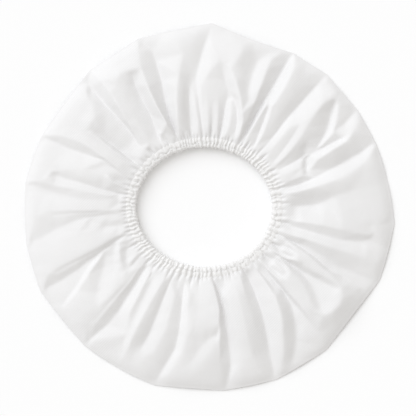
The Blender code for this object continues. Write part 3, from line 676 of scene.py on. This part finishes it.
def brimGrid(look):
    degrees = np.arange(look["columns"]) / look["columns"] * 360
    thickness, half = look["rimThickness"], look["rimThickness"] / 2
    rimRadius = rimRadiusAt(degrees) - half
    seamRadius = bandRadius(degrees, ringSizes["casingWidth"])

    def reach(share):
        return seamRadius + (rimRadius - seamRadius) * np.asarray(share)[:, None]

    # upper layer, closer rows near the seam where the gathers are
    upperShare = np.linspace(0, 1, look["upperRows"]) ** look["upperCrowding"]
    shares, heightShares, foldShares = zip(*upperProfile)
    base = smoothRows(np.interp(upperShare, shares, heightShares), look["profileRounds"])
    shown = np.interp(upperShare, shares, foldShares)
    share = upperShare[:, None]
    level = look["brimHeight"] * base[:, None] + shown[:, None] * creaseLift(degrees, share)
    level = np.maximum(level, thickness) + tuckLift(look, degrees, share)
    upper = ringPlace(degrees, reach(upperShare), level)
    lifted = rimLift(degrees)
    upper[-1, :, 2] = thickness + lifted

    # rim: a half turn of the doubled cloth
    turn = np.linspace(0, math.pi, look["rimRows"] + 2)[1:-1]
    rim = ringPlace(degrees, rimRadius + half * np.sin(turn)[:, None],
                    lifted + half + half * np.cos(turn)[:, None])

    # lower layer, flat where it rests, hollowed a little under the high folds and at the tucks
    lowerShare = np.linspace(1, 0, look["lowerRows"]) ** look["lowerCrowding"]
    share = lowerShare[:, None]
    hollow = np.maximum(creaseLift(degrees, share), 0)
    level = np.interp(lowerShare, *zip(*look["hollows"]))[:, None] * hollow
    level += lifted * smoothStep((share - look["rimLiftFrom"]) / look["rimLiftBand"])
    level += np.interp(lowerShare, *zip(*look["edgeRise"]))[:, None]
    level += look["underTuckDepth"] * tucks.depthAt(degrees, share / look["underTuckStretch"],
                                                    look["tuckWidthDeg"])
    lower = ringPlace(degrees, reach(lowerShare), level)

    # tucked edges, and the inside faces, which nobody sees: one lies on the lower layer, the other
    # hangs a little under the upper layer's lowest spot nearby
    wall, tuck = look["clothThickness"], look["edgeTuck"]
    lowTuck = ringPlace(degrees, seamRadius - tuck, thickness + tuck)[None]
    highTuck = ringPlace(degrees, seamRadius - tuck, upper[0, :, 2] - tuck)[None]
    insideShare = lowerShare[1:-1]
    lowLevel = level[1:-1] + wall
    nearby = np.abs(upperShare - insideShare[:, None]) < look["insideReach"]
    underside = np.array([upper[rows, :, 2].min(axis=0) for rows in nearby])
    for shift in range(-look["insideSteps"], look["insideSteps"] + 1):
        underside = np.minimum(underside, np.roll(underside, shift, axis=1))
    highLevel = np.maximum(underside - wall * look["insideGapWalls"], lowLevel)
    lowInside = ringPlace(degrees, reach(insideShare), lowLevel)[::-1]
    highInside = ringPlace(degrees, reach(insideShare), highLevel)
    return np.concatenate([upper, rim, lower, lowTuck, lowInside, highInside, highTuck])


def makeBrim(look, material):
    data = drapedSheet("brim_sheet", brimGrid(look))
    piece = addPiece("brim_sheet", data, material)
    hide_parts("brim_cloth")
    print("brim", len(data.polygons), "faces")


# The casing: a ruched channel of cloth round the elastic

casingLook = {
    "columns": 1440,
    "points": 34,
    "sectionRounds": 2,
    "tuckDepth": 0.0026,
    "crimpDepth": 0.0011,
    "tuckWidthDeg": 1.3,
    "crimpWidthDeg": 0.7,
    "swingDeg": 0.4,          # how far the creases lean to and fro across the casing
    "swingAcross": 3,         # radians of that lean from the opening's edge to the stitches
    "swingsRound": 11,        # and how often it comes back round the ring
    "clothThickness": 0.0006,
    "stitchOut": 0.0050,      # the stitched line: out from the opening's edge, its wander and dent
    "stitchWander": 0.0012,
    "stitchWaves": 37,
    "stitchSways": 5,
    "stitchSwaying": 2,
    "stitchDent": 0.0008,
    "stitchWidth": 0.0009,
    "dentAbove": 0.008,       # the dent is on the top side alone, and full this much higher
    "dentBand": 0.002,
    "elasticNear": 0.00185,   # the elastic inside: out from the opening's edge, and up
    "elasticFar": 0.00335,
    "elasticLow": 0.0039,
    "elasticHigh": 0.0089,
    "elasticGap": 0.0001,
}

# Section of the casing in millimetres: out from the opening's edge and up from the floor, from the
# seam's upper side over the top, round the opening's edge and back underneath, and then how much of
# the tucks and of the crimps shows there
casingSection = [
    (11.6, 10.6, 0.90, 0.0), (10.4, 11.2, 0.90, 0.2), (8.6, 11.5, 0.85, 0.6),
    (7.0, 11.5, 0.80, 0.8), (5.6, 11.5, 0.75, 1.0), (4.2, 11.3, 0.75, 1.0), (2.8, 11.1, 0.75, 1.0),
    (1.4, 10.3, 0.80, 0.8), (0.4, 8.5, 0.80, 0.6), (0.0, 6.0, 0.75, 0.5), (0.5, 3.8, 0.50, 0.3),
    (1.6, 1.8, 0.30, 0.3), (3.6, 0.8, 0.30, 0.4), (6.5, 0.7, 0.30, 0.4), (9.2, 0.6, 0.20, 0.1),
    (10.7, 0.4, 0.00, 0.0),
]


def casingWalls(look):
    # the outer face, section point by column, the inner face behind it, and the stitched line
    degrees = np.arange(look["columns"]) / look["columns"] * 360
    angle = np.radians(degrees)
    rows = np.array(casingSection)
    steps = np.concatenate([[0], np.cumsum(np.hypot(np.diff(rows[:, 0]), np.diff(rows[:, 1])))])
    even = np.linspace(0, steps[-1], look["points"])
    section = np.stack([np.interp(even, steps, rows[:, column]) for column in range(4)], axis=1)
    section = smoothRows(section, look["sectionRounds"])
    out, up = section[:, 0] / 1000, section[:, 1] / 1000
    along = np.stack([np.gradient(out), np.gradient(up)], axis=1)
    along /= np.linalg.norm(along, axis=1)[:, None]
    awayOut, awayUp = along[:, 1][:, None], -along[:, 0][:, None]   # points away from the casing
    lean = np.sin(out[:, None] / look["stitchOut"] * look["swingAcross"]
                  + look["swingsRound"] * angle)
    leaning = degrees + look["swingDeg"] * lean
    wide = tucks.depthAt(leaning, 0.0, look["tuckWidthDeg"])
    fine = crimps.depthAt(leaning, 0.0, look["crimpWidthDeg"])
    depth = look["tuckDepth"] * section[:, 2:3] * (puffShare - wide)
    depth += look["crimpDepth"] * section[:, 3:4] * (puffShare - fine)
    sway = look["stitchWaves"] * angle + look["stitchSwaying"] * np.sin(look["stitchSways"] * angle)
    stitchLine = look["stitchOut"] + look["stitchWander"] * np.sin(sway)
    dent = np.exp(-((out[:, None] - stitchLine) / look["stitchWidth"]) ** 2)
    depth -= look["stitchDent"] * dent * np.clip((up[:, None] - look["dentAbove"])
                                                 / look["dentBand"], 0, 1)
    # no crease presses on the elastic
    edge = bandRadius(degrees, 0.0)
    wall = look["clothThickness"]
    awayAcross = np.maximum(np.maximum(look["elasticNear"] - out, out - look["elasticFar"]), 0)
    awayHigh = np.maximum(np.maximum(look["elasticLow"] - up, up - look["elasticHigh"]), 0)
    room = np.hypot(awayAcross, awayHigh) - wall - look["elasticGap"]
    depth = np.maximum(depth, -room[:, None])
    outside = ringPlace(degrees, edge + out[:, None] + depth * awayOut,
                        np.maximum(up[:, None] + depth * awayUp, 0))
    inside = ringPlace(degrees, edge + out[:, None] + (depth - wall) * awayOut,
                       np.maximum(up[:, None] + (depth - wall) * awayUp, wall))[::-1]
    seamRow = np.abs(out[:look["points"] // 2] - look["stitchOut"]).argmin()
    return outside, inside, outside[seamRow]


def makeCasing(look, material):
    outside, inside, seam = casingWalls(look)
    data = drapedSheet("casing_sheet", np.concatenate([outside, inside]))
    piece = addPiece("casing_sheet", data, material)
    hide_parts("elastic_casing")
    print("casing", len(data.polygons), "faces")
    return seam


# Stitches that hold the elastic's channel, in the casing's groove

stitchLook = {
    "count": 132,
    "length": 0.0022,
    "thickness": 0.0005,
    "segments": 8,
    "rings": 5,
    "proud": 0.0001,          # how far their middle is above the cloth
}


def makeStitches(look, seam, material):
    work = bmesh.new()
    for column in np.linspace(0, len(seam), look["count"], endpoint=False).astype(int):
        degrees = 360 * column / len(seam)
        place = seam[column] + (0, 0, look["proud"])
        made = bmesh.ops.create_uvsphere(work, u_segments=look["segments"],
                                         v_segments=look["rings"], radius=0.5)
        bmesh.ops.scale(work, verts=made["verts"],
                        vec=(look["thickness"], look["length"], look["thickness"]))
        bmesh.ops.rotate(work, verts=made["verts"], cent=(0, 0, 0),
                         matrix=Matrix.Rotation(math.radians(degrees), 3, "Z"))
        bmesh.ops.translate(work, verts=made["verts"], vec=Vector(place))
    data = smoothMesh(work, bpy.data.meshes.new("seam_stitches"))
    addPiece("seam_stitches", data, material)
    print("stitches", len(data.polygons), "faces")


# Materials

clothLook = {
    "colour": (0.860, 0.855, 0.854),
    "shadeColour": (0.700, 0.696, 0.694),
    "ribSpacing": 0.00185,
    "ribDepth": 0.00003,
    "ribShade": 0.25,
    "ribWobble": 0.0011,      # how far noise pushes the ribs out of line
    "grainSize": 0.0011,
    "grainShade": 0.38,
    "wrinkleSpokes": 9,       # fine wrinkles: how close together, and how soon they change outwards
    "wrinkleChange": 20,
    "wrinkleDepth": 0.00030,
    "swellSize": 0.022,
    "swellDepth": 0.0008,
    "roughness": 0.88,
    "specular": 0.2,
    "sheen": 0.15,
    "sheenRoughness": 0.6,
}
casingClothLook = {
    **clothLook,
    "colour": (0.872, 0.865, 0.858),
    "shadeColour": (0.700, 0.692, 0.682),
    "ribShade": 0.10,
    "wrinkleDepth": 0.00010,
    "swellSize": 0.004,
    "swellDepth": 0.0006,
}
twillLook = {
    "yarnSize": 0.006,        # how far apart the ribs' bends are
    "patchSize": 0.045,       # size of the patches where the ribs show
    "patchFrom": 0.35,
    "patchTo": 0.65,
}


def setInputs(tree, node, inputs):
    # each input is linked to another node's output or set to a plain value
    for key, value in inputs.items():
        if hasattr(value, "is_output"):
            tree.links.new(value, node.inputs[key])
        else:
            node.inputs[key].default_value = value


def addNode(tree, kind, label, inputs, **settings):
    node = tree.nodes.new(kind)
    node.label = label
    for key, value in settings.items():
        setattr(node, key, value)
    setInputs(tree, node, inputs)
    return node


def mathNode(tree, label, operation, *values):
    node = addNode(tree, "ShaderNodeMath", label, dict(enumerate(values)), operation=operation)
    return node.outputs[0]


def vectorNode(tree, label, operation, *values):
    inputs = dict(enumerate(values))
    return addNode(tree, "ShaderNodeVectorMath", label, inputs, operation=operation).outputs[0]


def noiseNode(tree, label, place, scale, detail=2):
    inputs = {"Vector": place, "Scale": scale, "Detail": detail}
    return addNode(tree, "ShaderNodeTexNoise", label, inputs, noise_dimensions="3D").outputs[0]


def mixNode(tree, label, first, second, factor):
    inputs = {"A": (*first, 1), "B": (*second, 1), "Factor": factor}
    return addNode(tree, "ShaderNodeMix", label, inputs, data_type="RGBA").outputs["Result"]


def bumpNode(tree, label, height, distance):
    inputs = {"Strength": 1, "Distance": distance, "Height": height}
    return addNode(tree, "ShaderNodeBump", label, inputs).outputs[0]


def startMaterial(name):
    material = bpy.data.materials.new(name)
    material.use_nodes = True
    tree = material.node_tree
    place = addNode(tree, "ShaderNodeTexCoord", "place", {}).outputs["Object"]
    return material, tree, tree.nodes["Principled BSDF"], place


def makeTwillGroup(look):
    # fine ribs that slant by 45 degrees, and fibre grain: puts out the height of each, 0 to 1
    group = bpy.data.node_groups.new("twillCloth", "ShaderNodeTree")
    for name, side, kind in (("Place", "INPUT", "Vector"), ("Rib Spacing", "INPUT", "Float"),
                             ("Rib Wobble", "INPUT", "Float"), ("Grain Size", "INPUT", "Float"),
                             ("Rib", "OUTPUT", "Float"), ("Grain", "OUTPUT", "Float")):
        group.interface.new_socket(name, in_out=side, socket_type="NodeSocket" + kind)
    given = addNode(group, "NodeGroupInput", "in", {}).outputs
    plan = addNode(group, "ShaderNodeSeparateXYZ", "plan", {0: given["Place"]}).outputs
    across = mathNode(group, "across the ribs", "SUBTRACT", plan[0], plan[1])
    wobble = noiseNode(group, "uneven yarn", given["Place"], 1 / look["yarnSize"], detail=1)
    pushed = mathNode(group, "push", "MULTIPLY", wobble, given["Rib Wobble"])
    uneven = mathNode(group, "uneven ribs", "ADD", across, pushed)
    turns = mathNode(group, "ribs", "DIVIDE", uneven, given["Rib Spacing"])
    wave = mathNode(group, "rib phase", "MULTIPLY", turns, 2 * math.pi / math.sqrt(2))
    ribs = mathNode(group, "rib wave", "SINE", wave)
    lifted = mathNode(group, "half wave", "MULTIPLY_ADD", ribs, 0.5, 0.5)
    fine = mathNode(group, "grain scale", "DIVIDE", 1.0, given["Grain Size"])
    fibres = noiseNode(group, "fibres", given["Place"], fine)
    patches = noiseNode(group, "where ribs show", given["Place"], 1 / look["patchSize"])
    shown = addNode(group, "ShaderNodeMapRange", "rib patches", {
        "Value": patches, "From Min": look["patchFrom"], "From Max": look["patchTo"]}).outputs[0]
    faded = mathNode(group, "faded ribs", "MULTIPLY", lifted, shown)
    addNode(group, "NodeGroupOutput", "out", {"Rib": faded, "Grain": fibres})
    return group


twillGroup = makeTwillGroup(twillLook)


def makeCloth(name, look):
    material, tree, shader, place = startMaterial(name)
    weave = addNode(tree, "ShaderNodeGroup", "twill", {
        "Place": place, "Rib Spacing": look["ribSpacing"], "Rib Wobble": look["ribWobble"],
        "Grain Size": look["grainSize"]}, node_tree=twillGroup).outputs
    shade = mathNode(tree, "rib shade", "MULTIPLY", weave["Rib"], look["ribShade"])
    grain = mathNode(tree, "grain shade", "MULTIPLY", weave["Grain"], look["grainShade"])
    both = mathNode(tree, "shade", "ADD", shade, grain)
    # fine wrinkles that run out from the seam: noise on direction, hardly on distance
    flat = vectorNode(tree, "flat place", "MULTIPLY", place, (1, 1, 0))
    direction = vectorNode(tree, "direction", "NORMALIZE", flat)
    slow = vectorNode(tree, "slow way out", "MULTIPLY", place, [look["wrinkleChange"]] * 3)
    close = [look["wrinkleSpokes"]] * 3
    spokes = vectorNode(tree, "spokes", "MULTIPLY_ADD", direction, close, slow)
    wrinkled = noiseNode(tree, "wrinkles", spokes, 1.0, detail=3)
    swell = noiseNode(tree, "gentle swells", place, 1 / look["swellSize"])
    wrinkleHeight = mathNode(tree, "wrinkle height", "MULTIPLY", wrinkled, look["wrinkleDepth"])
    swellHeight = mathNode(tree, "swell height", "MULTIPLY", swell, look["swellDepth"])
    ribHeight = mathNode(tree, "rib height", "MULTIPLY", weave["Rib"], look["ribDepth"])
    soft = mathNode(tree, "soft height", "ADD", wrinkleHeight, swellHeight)
    height = mathNode(tree, "height", "ADD", soft, ribHeight)
    setInputs(tree, shader, {
        "Base Color": mixNode(tree, "yarn shade", look["colour"], look["shadeColour"], both),
        "Roughness": look["roughness"],
        "Specular IOR Level": look["specular"],
        "Sheen Weight": look["sheen"],
        "Sheen Roughness": look["sheenRoughness"],
        "Normal": bumpNode(tree, "cloth relief", height, 1),
    })
    return material


threadLook = {
    "colour": (0.840, 0.836, 0.826),
    # shadeColour is painted shade, given to the grooves between the plies
    "shadeColour": (0.640, 0.634, 0.620),
    "cordSpacing": 0.0004,
    "cordsRun": "DIAGONAL",
    "cordDepth": 0.00004,
    "cordWander": 1.5,
    "roughness": 0.70,
}
elasticLook = {
    # shadeColour is painted shade, given to the grooves between the cords
    "colour": (0.820, 0.815, 0.800),
    "shadeColour": (0.560, 0.552, 0.535),
    "cordSpacing": 0.0009,
    "cordsRun": "Z",
    "cordDepth": 0.00012,
    "cordWander": 1.5,
    "roughness": 0.80,
}


def makeCords(name, look):
    # side by side cords or twisted plies, a little uneven; a wave of scale 1 has 10 / pi of them.
    # Where the wave is low, in the grooves between them, the colour is darker: painted shade
    material, tree, shader, place = startMaterial(name)
    cords = addNode(tree, "ShaderNodeTexWave", "cords", {
        "Vector": place, "Scale": math.pi / 10 / look["cordSpacing"],
        "Distortion": look["cordWander"]}, bands_direction=look["cordsRun"]).outputs["Fac"]
    setInputs(tree, shader, {
        # painted shade: the darker colour goes where the cords' relief is low, in the grooves
        # between them
        "Base Color": mixNode(tree, "cord shade", look["shadeColour"], look["colour"], cords),
        "Roughness": look["roughness"],
        "Normal": bumpNode(tree, "cord relief", cords, look["cordDepth"]),
    })
    return material


makeBrim(brimLook, makeCloth("gatheredTwill", clothLook))
seamLine = makeCasing(casingLook, makeCloth("ruchedTwill", casingClothLook))
makeStitches(stitchLook, seamLine, makeCords("twistedThread", threadLook))
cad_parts["elastic_band"].material_slots[0].material = makeCords("cordedElastic", elasticLook)

# Pale floor, soft light from the upper left, and the camera straight above

studioLook = {
    "floorSize": 4.0,
    "floorBelow": 0.0001,     # keeps the floor clear of the cloth that rests on it
    "floorColour": (0.96, 0.96, 0.96),
    "skyColour": (1.0, 0.980, 0.952),
    "skyStrength": 0.69,
    "sunColour": (0.98, 1.018, 1.074),
    "sunStrength": 1.53,
    "sunSpreadDeg": 55,
    "sunFromDeg": 135,
    "sunHeightDeg": 45,
    "cameraHeight": 2.0,
    "sensorWidth": 36,
    "frameWidth": 0.4048,     # metres of the floor across the picture
    "cameraX": -0.00185,
    "cameraY": -0.00126,
}


def makeStudio(look):
    work = bmesh.new()
    bmesh.ops.create_grid(work, x_segments=1, y_segments=1, size=look["floorSize"] / 2)
    bmesh.ops.translate(work, verts=work.verts, vec=(0, 0, -look["floorBelow"]))
    floor = placed("floor", smoothMesh(work, bpy.data.meshes.new("floor")))
    paint, tree, shader, _ = startMaterial("paleFloor")
    setInputs(tree, shader, {"Base Color": (*look["floorColour"], 1), "Roughness": 1,
                             "Specular IOR Level": 0})
    floor.data.materials.append(paint)
    sky = bpy.data.worlds.new("softSky")
    sky.use_nodes = True
    setInputs(sky.node_tree, sky.node_tree.nodes["Background"],
              {"Color": (*look["skyColour"], 1), "Strength": look["skyStrength"]})
    bpy.context.scene.world = sky
    sun = bpy.data.lights.new("windowLight", "SUN")
    sun.color = look["sunColour"]
    sun.energy = look["sunStrength"]
    sun.angle = math.radians(look["sunSpreadDeg"])
    turn, up = math.radians(look["sunFromDeg"]), math.radians(look["sunHeightDeg"])
    toward = Vector((math.cos(turn) * math.cos(up), math.sin(turn) * math.cos(up), math.sin(up)))
    placed("windowLight", sun).rotation_euler = toward.to_track_quat("Z", "Y").to_euler()
    camera = bpy.data.cameras.new("camera")
    camera.sensor_width = look["sensorWidth"]
    camera.lens = look["sensorWidth"] * look["cameraHeight"] / look["frameWidth"]
    camera.dof.use_dof = False
    cameraObject = placed("camera", camera)
    cameraObject.location = (look["cameraX"], look["cameraY"], look["cameraHeight"])
    bpy.context.scene.camera = cameraObject
    bpy.context.scene.view_settings.view_transform = "Standard"
    print("studio ready")


makeStudio(studioLook)
